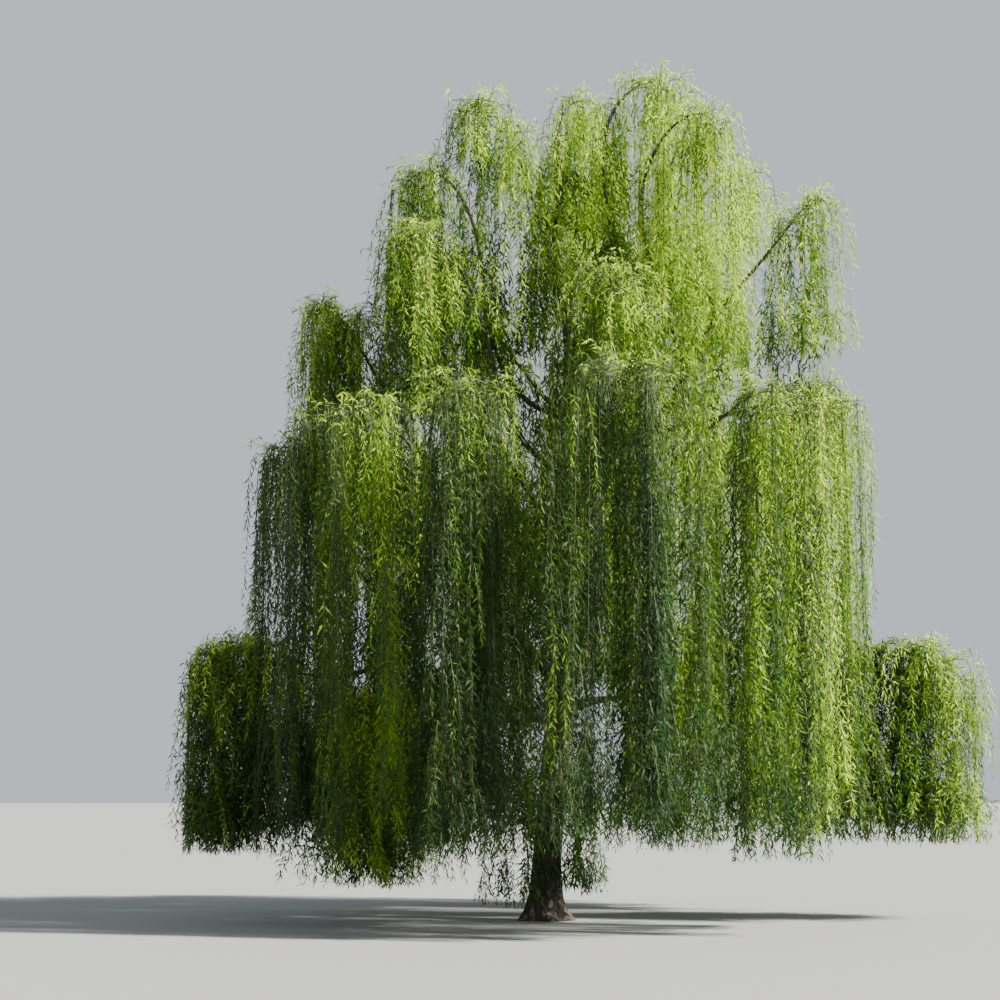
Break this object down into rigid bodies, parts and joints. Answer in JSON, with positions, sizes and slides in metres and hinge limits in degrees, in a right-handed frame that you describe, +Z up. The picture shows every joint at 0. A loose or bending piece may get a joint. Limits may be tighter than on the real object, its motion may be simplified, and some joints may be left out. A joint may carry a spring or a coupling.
{
  "type": "weeping willow tree",
  "caption": "Weeping willow in full leaf: short trunk with a root flare, arching boughs, and curtains of narrow leaves that hang to near the ground.",
  "frame": {"origin": "middle of the flat cut under the trunk, at ground level", "axes": "+Z up the tree; the side seen in the picture faces -Y, with +X to its right"},
  "size_m": [8.6589, 6.7565, 9.4184],
  "materials": {
    "bark": "rough furrowed grey-brown bark",
    "foliage": "thin satin yellow-green leaves with a grey-green underside"
  },
  "bodies": {
    "root": {"curtain_back_left": "foliage", "curtain_back_left_bough": "bark", "curtain_back_right": "foliage", "curtain_back_right_bough": "bark", "curtain_front": "foliage", "curtain_front_bough": "bark", "curtain_front_left": "foliage", "curtain_front_left_bough": "bark", "curtain_front_right": "foliage", "curtain_front_right_bough": "bark", "curtain_left": "foliage", "curtain_left_back": "foliage", "curtain_left_back_bough": "bark", "curtain_left_bough": "bark", "curtain_left_front": "foliage", "curtain_left_front_bough": "bark", "curtain_right": "foliage", "curtain_right_back": "foliage", "curtain_right_back_bough": "bark", "curtain_right_bough": "bark", "leader_back": "bark", "leader_left": "bark", "leader_main": "bark", "leader_right": "bark", "plume_back": "foliage", "plume_back_left": "foliage", "plume_back_left_bough": "bark", "plume_back_right": "foliage", "plume_back_right_bough": "bark", "plume_crest": "foliage", "plume_crest_bough": "bark", "plume_east": "foliage", "plume_east_bough": "bark", "plume_far_east": "foliage", "plume_far_east_bough": "bark", "plume_far_west": "foliage", "plume_far_west_bough": "bark", "plume_front": "foliage", "plume_front_bough": "bark", "plume_low_west": "foliage", "plume_low_west_bough": "bark", "plume_middle": "foliage", "plume_middle_bough": "bark", "plume_outer_east": "foliage", "plume_outer_west": "foliage", "plume_west": "foliage", "skirt_back_left": "foliage", "skirt_back_left_bough": "bark", "skirt_back_right": "foliage", "skirt_back_right_bough": "bark", "skirt_front_left": "foliage", "skirt_front_left_bough": "bark", "skirt_left": "foliage", "skirt_left_bough": "bark", "skirt_right": "foliage", "skirt_right_bough": "bark", "trunk": "bark", "tuft_front_left": "foliage", "tuft_front_right": "foliage"}
  },
  "joints": []
}
